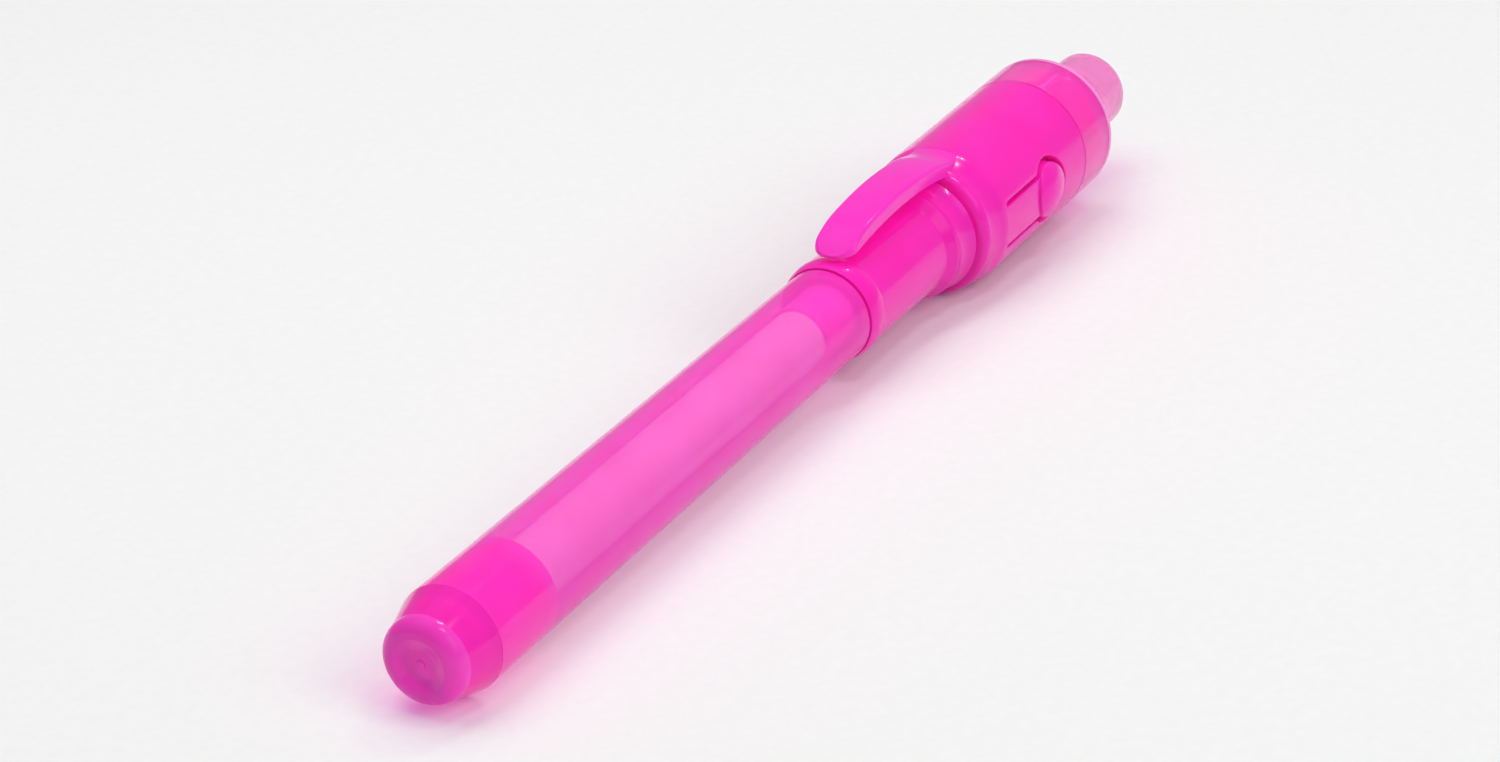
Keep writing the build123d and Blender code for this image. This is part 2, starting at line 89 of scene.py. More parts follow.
# Stations and roundings of the moulded shells that the node boxes don't give
TAIL_NUB_LENGTH = 1.6 * MM
TAIL_NUB_ROUND = 1.4 * MM
DISH_RADIUS = 2.4 * MM
DISH_SLOPE = 1.0 * MM
DISH_DEPTH = 0.45 * MM
DISH_ROUND = 1.2 * MM
DISH_LIP = DISH_ROUND / 4
GATE_RADIUS = 0.4 * MM
GATE_HEIGHT = 0.12 * MM
EDGE = 0.15 * MM
FINE_EDGE = 0.06 * MM
NOSE_ROUND = 3 * EDGE
BORE_ROUND = 4 * EDGE
BEAD_LENGTH = 2.6 * MM
MOUTH_DROP = 0.08 * MM
COLLAR_LENGTH = 4.9 * MM
COLLAR_FLARE = 1.1 * MM
COLLAR_HEIGHT = 0.75 * MM
COLLAR_WAIST = 0.1 * MM
COLLAR_FOOT = 2 * EDGE
COLLAR_ROUND = 0.35 * MM
COLLAR_GROOVE = 0.7 * MM
COLLAR_LIP = COLLAR_GROOVE / 4
RIM_FACE = 0.05 * MM
RIM_LENGTH = 1.2 * MM
TAPER_LENGTH = 3.4 * MM
TAPER_RISE = 0.57 * MM
TAPER_ROUND = 3.5 * MM
RING_ROUND = 0.6 * MM
# Width of the band of painted highlight on the end ring's rounded end edge
RING_HIGHLIGHT_BAND = 0.95 * MM
NUB_ROUND = 1.3 * MM
NUB_FOOT = 0.5 * MM

# Keyhole slit and press button
WINDOW_STEPS = 36
WINDOW_BEFORE = 0.3 * MM
WINDOW_AFTER = 1.0 * MM
WALL_STEP = 0.4 * MM
WALL_LEAST = 0.5 * MM
SLIT = 0.4 * MM
BUTTON_SLIT = 0.6 * MM
SLIT_EDGE = 0.12 * MM
SLIT_LOOPS = (0, 0.1, 0.3, 0.6, 1)
SLIT_CLEAR = 1.5 * SLIT_EDGE
SLIT_FADE = 2 * SLIT
JOIN_WITHIN = 1e-5
TONGUE_WIDTH = 4.0 * MM
TONGUE_OVERLAP = 0.5 * MM
TONGUE_DROP = 0.01 * MM
BUTTON_RISE_EDGE = 0.2 * MM
BUTTON_ROUND = 0.22 * MM
BUTTON_FOOT = 2 * FINE_EDGE
DOME_STEPS = 8

# Pocket clip
CLIP_TIP_WIDTH = 4.2 * MM
CLIP_TIP_ROUND = 1.8 * MM
CLIP_TIP_TOP = 6.76 * MM
CLIP_CREST_TOP = 8.1 * MM
CLIP_NOSE = 4.8 * MM
CLIP_NOSE_DROP = 1.15 * MM
CLIP_EDGE = 0.35 * MM
CLIP_EDGE_SHARE = 0.6
CLIP_CROWN = 0.2
CLIP_CROWN_POWER = 4
CLIP_SINK = 1.9 * MM
CLIP_RUN_OUT = 4.8 * MM
CLIP_RUN_OUT_END = 0.3 * MM
CLIP_THINNED = 0.4
CLIP_UNDER = 0.03 * MM


def node_points(node):
    return [vertex.co for vertex in frame["nodes"][node].data.vertices]


def radius_at(node, x, pick=max):
    """Radius of the outermost ring of a node at station x, or of the innermost with pick=min."""
    return pick(
        math.hypot(point.y, point.z) for point in node_points(node) if abs(point.x - x) < SAME_PLACE
    )


def rounded(corners):
    """Outline through (x, r, rounding) corners, as a closed loop of 2-D points."""
    outline = []
    for index, (x, r, rounding) in enumerate(corners):
        corner = Vector((x, r))
        if rounding == 0:
            outline.append(corner)
            continue
        before = (Vector(corners[index - 1][:2]) - corner).normalized()
        after = (Vector(corners[(index + 1) % len(corners)][:2]) - corner).normalized()
        half_angle = before.angle(after) / 2
        centre = corner + (before + after).normalized() * (rounding / math.sin(half_angle))
        start = corner + before * (rounding / math.tan(half_angle)) - centre
        turn = math.pi - 2 * half_angle
        if before.x * after.y - before.y * after.x > 0:
            turn = -turn
        for step in range(ARC_STEPS + 1):
            outline.append(centre + Matrix.Rotation(turn * step / ARC_STEPS, 2) @ start)
    return outline


def circle_through(a, b, c):
    """Centre and radius of the circle through three 2-D points."""
    across = Matrix(((b - a), (c - a)))
    squares = Vector((b.length_squared - a.length_squared, c.length_squared - a.length_squared))
    centre = across.inverted() @ (squares / 2)
    return centre, (a - centre).length


def arc(start, through, end):
    """Corners along the arc through three 2-D points."""
    centre, radius = circle_through(Vector(start), Vector(through), Vector(end))
    side = 1 if through[1] > centre.y else -1
    corners = []
    for step in range(2 * ARC_STEPS + 1):
        x = start[0] + (end[0] - start[0]) * step / (2 * ARC_STEPS)
        corners.append((x, centre.y + side * math.sqrt(radius**2 - (x - centre.x) ** 2), 0))
    return corners


def on_wall(x, radius, angle):
    """Point on a cylinder about the X axis. Angle 0 faces the button side, -Y."""
    return Vector((x, -radius * math.cos(angle), radius * math.sin(angle)))


def turn_outline(mesh, outline, closed=True):
    """Turns a 2-D outline of (x, r) points about the X axis, into a bmesh."""
    rings = []
    for x, r in outline:
        if r < SAME_PLACE:
            rings.append([mesh.verts.new((x, 0, 0))])
        else:
            turn = 2 * math.pi / SEGMENTS
            rings.append([mesh.verts.new(on_wall(x, r, turn * i - math.pi)) for i in range(SEGMENTS)])
    pairs = list(zip(rings, rings[1:]))
    if closed:
        pairs.append((rings[-1], rings[0]))
    for first, second in pairs:
        if len(first) == 1 and len(second) == 1:
            continue
        for i in range(SEGMENTS):
            j = (i + 1) % SEGMENTS
            corners = [first[i % len(first)], first[j % len(first)]]
            corners += [second[j % len(second)], second[i % len(second)]]
            mesh.faces.new(list(dict.fromkeys(corners)))


def add_piece(name, mesh, material, nodes):
    """Makes an object of a bmesh, smooth but for creases, that stands for CAD nodes."""
    bmesh.ops.remove_doubles(mesh, verts=mesh.verts, dist=WELD)
    bmesh.ops.recalc_face_normals(mesh, faces=mesh.faces)
    data = bpy.data.meshes.new(name)
    mesh.to_mesh(data)
    mesh.free()
    data.shade_smooth()
    data.set_sharp_from_angle(angle=math.radians(CREASE_ANGLE))
    data.materials.append(material)
    piece = bpy.data.objects.new(name, data)
    bpy.context.scene.collection.objects.link(piece)
    normals = piece.modifiers.new("normals", "WEIGHTED_NORMAL")
    normals.keep_sharp = True
    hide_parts(*nodes)
    return piece


def lathe(name, corners, material, node, body, others=()):
    """A turned piece that stands for one node.

    Others holds further materials, each with a test that tells by a face's middle if the face has it.
    """
    mesh = bmesh.new()
    turn_outline(mesh, rounded(corners))
    for index, (_, wears) in enumerate(others, 1):
        for face in mesh.faces:
            if wears(face.calc_center_median()):
                face.material_index = index
    piece = add_piece(name, mesh, material, [node])
    for other, _ in others:
        piece.data.materials.append(other)
    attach(piece, body)


# Materials: colours are linear, scales in waves per metre, roughness runs between two values
NOISE_LOW = 0.3
NOISE_HIGH = 0.7
CLOUD_SCALE = 180
SHEEN_SCALE = 900
RIPPLE_SCALE = 500
RIPPLE_DETAIL = 2
RIPPLE_DEPTH = 0.004 * MM
GRAIN_DETAIL = 4
PLASTIC_IOR = 1.49
PLASTIC_SPECULAR = 0.15
COAT_WEIGHT = 0.2
COAT_ROUGHNESS = 0.03
BARREL_ROUGHNESS = (0.08, 0.14)
LIGHT_ROUGHNESS = (0.06, 0.12)
LIGHT_PASSED = (0.9, 0.6, 0.9)
CAP_ROUGHNESS = (0.14, 0.22)
CAP_PASSED = (0.55, 0.25, 0.55)
PLUG_ROUGHNESS = (0.1, 0.16)
PLUG_PASSED = (0.7, 0.4, 0.7)
DEEP_PINK = (1.0, 0.0, 0.9)
DEEP_PINK_DENSITY = 300
FILM_SCALE = 300
FILM_ROUGHNESS = 0.12
FILM_COVER = 0.1


def new_material(name):
    material = bpy.data.materials.new(name)
    material.use_nodes = True
    tree = material.node_tree
    return material, tree, tree.nodes["Principled BSDF"]


def noise(tree, scale, detail=3.0, stretch=(1, 1, 1)):
    """Noise in the piece's own coordinates."""
    place = tree.nodes.new("ShaderNodeTexCoord")
    mapping = tree.nodes.new("ShaderNodeMapping")
    mapping.inputs["Scale"].default_value = stretch
    texture = tree.nodes.new("ShaderNodeTexNoise")
    texture.inputs["Scale"].default_value = scale
    texture.inputs["Detail"].default_value = detail
    tree.links.new(place.outputs["Object"], mapping.inputs["Vector"])
    tree.links.new(mapping.outputs["Vector"], texture.inputs["Vector"])
    return texture.outputs["Fac"]


def spread(tree, value, low, high):
    """Maps a noise value onto a range."""
    ramp = tree.nodes.new("ShaderNodeMapRange")
    ramp.inputs["From Min"].default_value = NOISE_LOW
    ramp.inputs["From Max"].default_value = NOISE_HIGH
    ramp.inputs["To Min"].default_value = low
    ramp.inputs["To Max"].default_value = high
    tree.links.new(value, ramp.inputs["Value"])
    return ramp.outputs["Result"]


def mix_colours(tree, value, low, high):
    """A colour that runs from low to high with a noise value."""
    ramp = tree.nodes.new("ShaderNodeValToRGB")
    ramp.color_ramp.elements[0].position = NOISE_LOW
    ramp.color_ramp.elements[1].position = NOISE_HIGH
    ramp.color_ramp.elements[0].color = (*low, 1)
    ramp.color_ramp.elements[1].color = (*high, 1)
    tree.links.new(value, ramp.inputs["Fac"])
    return ramp.outputs["Color"]


def roughen(tree, shader, height, depth):
    """Bumps a shader by a height value; depth is in metres."""
    bump = tree.nodes.new("ShaderNodeBump")
    bump.inputs["Distance"].default_value = depth
    tree.links.new(height, bump.inputs["Height"])
    tree.links.new(bump.outputs["Normal"], shader.inputs["Normal"])


def clear_plastic(name, low, high, cover, clarity, roughness, passed, absorb=None, density=0):
    """Moulded, slightly hazy plastic that hides what is behind it by the share cover.

    Clarity is the share that it bends light instead of scattering it, passed is the tint of the lamps'
    light that goes through it, and with a density the plastic is also tinted by its depth.
    """
    material, tree, shader = new_material(name)
    output = tree.nodes["Material Output"]
    tree.links.new(mix_colours(tree, noise(tree, CLOUD_SCALE), low, high), shader.inputs["Base Color"])
    tree.links.new(spread(tree, noise(tree, SHEEN_SCALE), *roughness), shader.inputs["Roughness"])
    roughen(tree, shader, noise(tree, RIPPLE_SCALE, RIPPLE_DETAIL), RIPPLE_DEPTH)
    shader.inputs["IOR"].default_value = PLASTIC_IOR
    shader.inputs["Alpha"].default_value = cover
    shader.inputs["Transmission Weight"].default_value = clarity
    shader.inputs["Specular IOR Level"].default_value = PLASTIC_SPECULAR
    shader.inputs["Coat Weight"].default_value = COAT_WEIGHT
    shader.inputs["Coat Roughness"].default_value = COAT_ROUGHNESS
    open_to_lamps = tree.nodes.new("ShaderNodeBsdfTransparent")
    open_to_lamps.inputs["Color"].default_value = (*passed, 1)
    path = tree.nodes.new("ShaderNodeLightPath")
    either = tree.nodes.new("ShaderNodeMixShader")
    tree.links.new(path.outputs["Is Shadow Ray"], either.inputs["Fac"])
    tree.links.new(shader.outputs["BSDF"], either.inputs[1])
    tree.links.new(open_to_lamps.outputs["BSDF"], either.inputs[2])
    tree.links.new(either.outputs["Shader"], output.inputs["Surface"])
    if density:
        inside = tree.nodes.new("ShaderNodeVolumeAbsorption")
        inside.inputs["Color"].default_value = (*absorb, 1)
        inside.inputs["Density"].default_value = density
        tree.links.new(inside.outputs["Volume"], output.inputs["Volume"])
    return material


def solid(name, low, high, roughness, metallic=0.0, scale=600, depth=0.01 * MM, stretch=(1, 1, 1)):
    """An opaque material with fine grain in its colour, gloss and surface."""
    material, tree, shader = new_material(name)
    grain = noise(tree, scale, GRAIN_DETAIL, stretch)
    tree.links.new(mix_colours(tree, grain, low, high), shader.inputs["Base Color"])
    tree.links.new(spread(tree, grain, *roughness), shader.inputs["Roughness"])
    roughen(tree, shader, grain, depth)
    shader.inputs["Metallic"].default_value = metallic
    return material


barrel_plastic = clear_plastic(
    "barrel_plastic", (1.0, 0.03, 0.54), (1.0, 0.045, 0.6),
    cover=0.76, clarity=0.1, roughness=BARREL_ROUGHNESS, passed=(1.0, 0.95, 1.0),
)
barrel_lining = clear_plastic(
    "barrel_lining", (1.0, 0.05, 0.62), (1.0, 0.07, 0.68),
    cover=0.15, clarity=0.3, roughness=BARREL_ROUGHNESS, passed=(1.0, 0.98, 1.0),
)
plugged_barrel = clear_plastic(
    "plugged_barrel", (1.0, 0.02, 0.5), (1.0, 0.03, 0.56),
    cover=0.98, clarity=0.2, roughness=BARREL_ROUGHNESS, passed=(1.0, 0.9, 1.0),
)
light_plastic = clear_plastic(
    "light_plastic", (1.0, 0.04, 0.53), (1.0, 0.06, 0.59),
    cover=0.9, clarity=0.4, roughness=LIGHT_ROUGHNESS, passed=LIGHT_PASSED,
)
lens_plastic = clear_plastic(
    "lens_plastic", (0.95, 0.08, 0.54), (1.0, 0.11, 0.6),
    cover=0.65, clarity=0.6, roughness=LIGHT_ROUGHNESS, passed=LIGHT_PASSED,
)
# Paler pink painted on the end ring's rounded end edge: a painted highlight line
painted_edge_highlight = clear_plastic(
    "painted_edge_highlight", (1.0, 0.3, 0.74), (1.0, 0.36, 0.8),
    cover=1.0, clarity=0.2, roughness=LIGHT_ROUGHNESS, passed=LIGHT_PASSED,
)
cap_plastic = clear_plastic(
    "cap_plastic", (1.0, 0.014, 0.5), (1.0, 0.02, 0.56),
    cover=1.0, clarity=0.2, roughness=CAP_ROUGHNESS, passed=CAP_PASSED,
    absorb=DEEP_PINK, density=DEEP_PINK_DENSITY,
)
# The clip is tinted bluer than the cap shell it is moulded with: a painted lilac sheen
clip_painted_sheen = clear_plastic(
    "clip_painted_sheen", (1.0, 0.03, 0.6), (1.0, 0.04, 0.66),
    cover=1.0, clarity=0.2, roughness=CAP_ROUGHNESS, passed=CAP_PASSED,
    absorb=DEEP_PINK, density=DEEP_PINK_DENSITY,
)
plug_plastic = clear_plastic(
    "plug_plastic", (1.0, 0.014, 0.48), (1.0, 0.02, 0.54),
    cover=1.0, clarity=0.2, roughness=PLUG_ROUGHNESS, passed=PLUG_PASSED,
)
# Paler, more violet pink than the plug it is moulded with: a painted reflection and highlight on the
# nub's rounded end
tail_nub_painted_reflection = clear_plastic(
    "tail_nub_painted_reflection", (0.94, 0.045, 0.58), (0.98, 0.06, 0.64),
    cover=1.0, clarity=0.2, roughness=PLUG_ROUGHNESS, passed=PLUG_PASSED,
)
section_plastic = clear_plastic(
    "section_plastic", (1.0, 0.16, 0.66), (1.0, 0.2, 0.72),
    cover=1.0, clarity=0.2, roughness=PLUG_ROUGHNESS, passed=PLUG_PASSED,
    absorb=DEEP_PINK, density=DEEP_PINK_DENSITY,
)
NODE_MATERIALS = {
    "ink_reservoir": solid(
        "fibre", (0.86, 0.85, 0.84), (0.95, 0.94, 0.93),
        roughness=(0.85, 1.0), scale=700, depth=0.03 * MM, stretch=(0.06, 1, 1),
    ),
    "nib": solid(
        "nib_fibre", (0.85, 0.83, 0.8), (0.94, 0.93, 0.9),
        roughness=(0.8, 0.95), scale=2500, depth=0.02 * MM,
    ),
    "battery_carrier": solid("carrier", (0.95, 0.04, 0.5), (1.0, 0.06, 0.56), roughness=(0.35, 0.5)),
    "contact_strip": solid(
        "brass", (0.72, 0.55, 0.26), (0.84, 0.68, 0.36), roughness=(0.2, 0.35), metallic=1.0
    ),
}
steel = solid("nickel_steel", (0.62, 0.62, 0.61), (0.74, 0.74, 0.73), roughness=(0.16, 0.3), metallic=1.0)
tinned = solid("tinned_lead", (0.6, 0.6, 0.6), (0.75, 0.75, 0.76), roughness=(0.25, 0.4), metallic=1.0)
for cell in ("button_cell_1", "button_cell_2", "button_cell_3"):
    NODE_MATERIALS[cell] = steel
for lead in ("led_anode_lead", "led_cathode_lead"):
    NODE_MATERIALS[lead] = tinned
NODE_MATERIALS["led_lens"] = clear_plastic(
    "lamp_epoxy", (0.9, 0.88, 0.97), (0.94, 0.92, 1.0),
    cover=1.0, clarity=0.95, roughness=(0.02, 0.05), passed=(0.95, 0.94, 0.98),
    absorb=(0.9, 0.85, 1.0), density=30,
)


def film_material():
    """Thin clear film: hardly there but for its shine."""
    material, tree, shader = new_material("film")
    colour = mix_colours(tree, noise(tree, FILM_SCALE), (0.9, 0.9, 0.92), (0.97, 0.97, 1.0))
    tree.links.new(colour, shader.inputs["Base Color"])
    shader.inputs["Roughness"].default_value = FILM_ROUGHNESS
    shader.inputs["Alpha"].default_value = FILM_COVER
    return material


NODE_MATERIALS["reservoir_film"] = film_material()

# Tail end: dished end face with the mark of the moulding gate, nub, cone shoulder, spigot
tail_low, tail_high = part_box("tail_plug")
barrel_low, barrel_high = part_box("barrel")
nub_radius = radius_at("tail_plug", tail_low.x + TAIL_NUB_LENGTH)
spigot_radius = radius_at("tail_plug", tail_high.x)
spigot_bore = radius_at("tail_plug", tail_high.x, min)
barrel_bore = radius_at("barrel", barrel_low.x, min)
barrel_tail_radius = radius_at("barrel", barrel_low.x)
lathe(
    "tail_end",
    [
        (tail_low.x + DISH_DEPTH - GATE_HEIGHT, 0, 0),
        (tail_low.x + DISH_DEPTH - GATE_HEIGHT, GATE_RADIUS, FINE_EDGE),
        (tail_low.x + DISH_DEPTH, GATE_RADIUS, FINE_EDGE),
        (tail_low.x + DISH_DEPTH, DISH_RADIUS - DISH_SLOPE, DISH_ROUND),
        (tail_low.x, DISH_RADIUS, DISH_LIP),
        (tail_low.x, nub_radius, TAIL_NUB_ROUND),
        (tail_low.x + TAIL_NUB_LENGTH, nub_radius, EDGE),
        (barrel_low.x, barrel_tail_radius, FINE_EDGE),
        (barrel_low.x, spigot_radius, 0),
        (tail_high.x, spigot_radius, FINE_EDGE),
        (tail_high.x, spigot_bore, FINE_EDGE),
        (barrel_low.x, spigot_bore, EDGE),
        (barrel_low.x, 0, 0),
    ],
    plug_plastic, "tail_plug", "pen",
    # The nub's faces wear the painted reflection tint
    ((tail_nub_painted_reflection, lambda place: place.x < tail_low.x + TAIL_NUB_LENGTH),),
)

# Barrel: through a real round wall the plug fills the whole tail, so the wall there has the plug's colour
barrel_front_radius = radius_at("barrel", barrel_high.x)
plugged = (tail_high.x - barrel_low.x) / (barrel_high.x - barrel_low.x)
lathe(
    "barrel_tube",
    [
        (barrel_low.x, barrel_bore, FINE_EDGE),
        (barrel_low.x, barrel_tail_radius, FINE_EDGE),
        (tail_high.x, barrel_tail_radius + (barrel_front_radius - barrel_tail_radius) * plugged, 0),
        (barrel_high.x, barrel_front_radius, EDGE),
        (barrel_high.x, barrel_bore, FINE_EDGE),
    ],
    barrel_plastic, "barrel", "pen",
    (
        (plugged_barrel, lambda place: place.x < tail_high.x),
        (barrel_lining, lambda place: math.hypot(place.y, place.z) < barrel_bore + FINE_EDGE),
    ),
)

# Nib section: spigot, neck and nose cone
section_low, section_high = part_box("nib_section")
neck_radius = section_high.z
nib_bore = radius_at("nib_section", section_low.x, min)
nose_x = max(
    p.x for p in node_points("nib_section") if math.hypot(p.y, p.z) > neck_radius - SAME_PLACE
)
lathe(
    "nib_cone",
    [
        (section_low.x, nib_bore, FINE_EDGE),
        (section_low.x, radius_at("nib_section", section_low.x), FINE_EDGE),
        (barrel_high.x, spigot_radius, 0),
        (barrel_high.x, neck_radius, EDGE),
        (nose_x, neck_radius, NOSE_ROUND),
        (section_high.x, radius_at("nib_section", section_high.x), EDGE),
        (section_high.x, nib_bore, FINE_EDGE),
    ],
    section_plastic, "nib_section", "pen",
)

# Cap sleeve: rounded bead at the mouth, slim tube, waisted collar, spigot in the housing
sleeve_low, sleeve_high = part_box("cap_sleeve")
housing_low, housing_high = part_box("light_housing")
cap_bore = radius_at("cap_sleeve", sleeve_low.x, min)
sleeve_radius = radius_at("cap_sleeve", sleeve_low.x)
sleeve_spigot = radius_at("cap_sleeve", sleeve_high.x)
collar_x = housing_low.x - COLLAR_LENGTH
collar_radius = sleeve_radius + COLLAR_HEIGHT
collar_end_radius = radius_at("cap_sleeve", housing_low.x)
crest_x = collar_x + COLLAR_FLARE
bore_end = max(
    p.x for p in node_points("cap_sleeve") if abs(math.hypot(p.y, p.z) - cap_bore) < SAME_PLACE
)
bead_radius = max(
    math.hypot(p.y, p.z) for p in node_points("cap_sleeve") if p.x < sleeve_low.x + BEAD_LENGTH
)
lathe(
    "cap_tube",
    [
        (sleeve_low.x, cap_bore, EDGE),
        *arc(
            (sleeve_low.x, sleeve_radius - MOUTH_DROP),
            (sleeve_low.x + BEAD_LENGTH / 2, bead_radius),
            (sleeve_low.x + BEAD_LENGTH, sleeve_radius),
        ),
        (collar_x, sleeve_radius, COLLAR_FOOT),
        (crest_x, collar_radius, COLLAR_ROUND),
        *arc(
            (crest_x, collar_radius),
            ((crest_x + housing_low.x) / 2, collar_radius - COLLAR_WAIST),
            (housing_low.x - COLLAR_GROOVE, collar_end_radius - COLLAR_LIP),
        )[1:],
        (housing_low.x, collar_end_radius - COLLAR_GROOVE, 0),
        (housing_low.x, sleeve_spigot, 0),
        (sleeve_high.x, sleeve_spigot, EDGE),
        (sleeve_high.x, 0, 0),
        (bore_end, 0, 0),
        (bore_end, cap_bore, BORE_ROUND),
    ],
    cap_plastic, "cap_sleeve", "cap",
)

# Light cap: spigot in the housing, end ring whose end edge wears a paler pink as a painted highlight, nub
# with the lens over the lamp
light_low, light_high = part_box("light_cap")
lamp_low, lamp_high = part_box("led_lens")
housing_radius = housing_high.y
light_spigot = radius_at("light_cap", light_low.x)
light_spigot_bore = radius_at("light_cap", light_low.x, min)
ring_points = [
    p.x for p in node_points("light_cap") if math.hypot(p.y, p.z) > housing_radius - SAME_PLACE
]
ring_x0 = min(ring_points)
ring_x1 = max(ring_points) + RING_ROUND
lens_bore = max(math.hypot(p.y, p.z) for p in node_points("led_lens")) + EDGE
light_nub_radius = min(
    math.hypot(p.y, p.z)
    for p in node_points("light_cap")
    if abs(p.x - ring_x1 - NUB_FOOT) < SAME_PLACE and math.hypot(p.y, p.z) > lens_bore + EDGE
)
lens_end = lamp_high.x + EDGE
lathe(
    "lamp_window",
    [
        (light_low.x, light_spigot_bore, FINE_EDGE),
        (light_low.x, light_spigot, EDGE),
        (ring_x0, light_spigot, 0),
        (ring_x0, housing_radius, EDGE),
        (ring_x1 - RING_HIGHLIGHT_BAND, housing_radius, 0),
        (ring_x1, housing_radius, RING_ROUND),
        (ring_x1, light_nub_radius, NUB_FOOT),
        (light_high.x, light_nub_radius, NUB_ROUND),
        (light_high.x, 0, 0),
        (lens_end, 0, 0),
        (lens_end, lens_bore, lens_bore - EDGE),
        (lamp_low.x, lens_bore, EDGE),
        (lamp_low.x, light_spigot_bore, EDGE),
    ],
    light_plastic, "light_cap", "light_end",
    (
        (lens_plastic, lambda place: place.x > ring_x1),
        (
            # The end ring's rounded end edge wears the paler pink: a painted highlight
            painted_edge_highlight,
            lambda place: place.x > ring_x1 - RING_HIGHLIGHT_BAND
            and math.hypot(place.y, place.z) > housing_radius - RING_ROUND,
        ),
    ),
)

joints = {joint["name"]: joint for joint in frame["joints"]}

# Light housing: rounded rim, short taper, straight wall with a keyhole slit round the button
button_low, button_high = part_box("press_button")
tongue_x = joints["button_press"]["pos_m"][0]
button_radius = (button_high.z - button_low.z) / 2
button_x = button_high.x - button_radius
chamber_x = max(
    p.x
    for p in node_points("light_housing")
    if p.x < tongue_x and math.hypot(p.y, p.z) < housing_radius - WALL_LEAST
)
housing_bore = radius_at("light_housing", housing_high.x, min)
spigot_hole = radius_at("light_housing", housing_low.x, min)
WINDOW_X0 = tongue_x - WINDOW_BEFORE
WINDOW_X1 = button_x + button_radius + BUTTON_SLIT + WINDOW_AFTER


def window_edge(margin):
    """Outline of the keyhole on the wall seen from the side, as (x, z), grown by a margin."""
    half = TONGUE_WIDTH / 2 + SLIT + margin
    radius = button_radius + BUTTON_SLIT + margin
    sweep = math.pi - math.asin(half / radius)
    angles = [sweep * (2 * step / WINDOW_STEPS - 1) for step in range(WINDOW_STEPS + 1)]
    straight = button_x + radius * math.cos(sweep) - tongue_x
    lower = [(tongue_x + straight * step / WINDOW_STEPS, -half) for step in range(WINDOW_STEPS)]
    round_end = [(button_x + radius * math.cos(a), radius * math.sin(a)) for a in angles]
    upper = [(x, -z) for x, z in reversed(lower)]
    return lower + round_end + upper


def window_distance(x, z):
    """Distance of a point from the keyhole's edge, negative inside the keyhole."""
    beyond = math.hypot(x - button_x, z) - button_radius - BUTTON_SLIT
    if tongue_x <= x <= button_x:
        beyond = min(beyond, abs(z) - TONGUE_WIDTH / 2 - SLIT)
    return beyond


def keyhole_wall(mesh):
    """The stretch of the housing's wall that the keyhole is cut in, outside and inside."""
    columns = round((WINDOW_X1 - WINDOW_X0) / WALL_STEP)
    turn = 2 * math.pi / SEGMENTS
    flat = []
    for column in range(columns + 1):
        x = WINDOW_X0 + (WINDOW_X1 - WINDOW_X0) * column / columns
        for row in range(SEGMENTS + 1):
            angle = turn * row - math.pi
            z = housing_radius * math.sin(angle)
            if abs(angle) > math.pi / 2 or window_distance(x, z) > SLIT_CLEAR:
                flat.append(Vector((x, angle * housing_radius)))
    links = []
    for share in SLIT_LOOPS:
        edge = window_edge(share * SLIT_EDGE)
        loop = [(x, math.asin(z / housing_radius) * housing_radius) for x, z in edge]
        first = len(flat)
        flat.extend(Vector(point) for point in loop)
        links.extend((first + i, first + (i + 1) % len(loop)) for i in range(len(loop)))
    points, _, faces, *_ = delaunay_2d_cdt([p / MM for p in flat], links, [], 0, JOIN_WITHIN, False)
    outside = []
    inside = []
    for x, around in points:
        angle = around * MM / housing_radius
        beyond = window_distance(x * MM, housing_radius * math.sin(angle))
        drop = 0
        if abs(angle) < math.pi / 2 and beyond < SLIT_EDGE:
            inward = SLIT_EDGE - max(beyond, 0)
            drop = SLIT_EDGE - math.sqrt(max(SLIT_EDGE**2 - inward**2, 0))
        fade = min(max((x * MM - tongue_x) / SLIT_FADE, 0), 1)
        outside.append(mesh.verts.new(on_wall(x * MM, housing_radius - drop * fade, angle)))
        inside.append(mesh.verts.new(on_wall(x * MM, housing_bore, angle)))
    uses = {}
    for face in faces:
        middle = sum((points[i] for i in face), Vector((0, 0))) * MM / len(face)
        angle = middle.y / housing_radius
        if abs(angle) < math.pi / 2 and window_distance(middle.x, housing_radius * math.sin(angle)) < 0:
            continue
        mesh.faces.new([outside[i] for i in face])
        mesh.faces.new([inside[i] for i in reversed(face)])
        for a, b in zip(face, face[1:] + face[:1]):
            uses.setdefault(frozenset((a, b)), []).append((a, b))
    for (a, b), *more in uses.values():
        x_limits = [points[i].x * MM for i in (a, b)]
        around_limits = [abs(points[i].y) * MM for i in (a, b)]
        on_seam = min(around_limits) > housing_radius * math.pi - SAME_PLACE
        on_end = max(x_limits) < WINDOW_X0 + SAME_PLACE or min(x_limits) > WINDOW_X1 - SAME_PLACE
        if not more and not on_seam and not on_end:
            mesh.faces.new([outside[b], outside[a], inside[a], inside[b]])


def build_housing():
    mesh = bmesh.new()
    front_radius = radius_at("light_housing", housing_low.x) + RIM_FACE
    rim_radius = housing_radius - TAPER_RISE
    # The rim swells early: a quarter of the way along, it is two thirds of the way out
    rim = rounded([
        (WINDOW_X0, housing_bore, 0),
        (chamber_x, housing_bore, FINE_EDGE),
        (chamber_x, spigot_hole, FINE_EDGE),
        (housing_low.x, spigot_hole, 0),
        *arc(
            (housing_low.x, front_radius),
            (housing_low.x + RIM_LENGTH / 4, (front_radius + 2 * rim_radius) / 3),
            (housing_low.x + RIM_LENGTH, rim_radius),
        ),
        (housing_low.x + TAPER_LENGTH, housing_radius, TAPER_ROUND),
        (WINDOW_X0, housing_radius, 0),
    ])
    turn_outline(mesh, rim, closed=False)
    end = rounded([
        (WINDOW_X1, housing_radius, 0),
        (housing_high.x, housing_radius, EDGE),
        (housing_high.x, housing_bore, FINE_EDGE),
        (WINDOW_X1, housing_bore, 0),
    ])
    turn_outline(mesh, end, closed=False)
    keyhole_wall(mesh)
    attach(add_piece("lamp_housing", mesh, cap_plastic, ["light_housing"]), "cap")


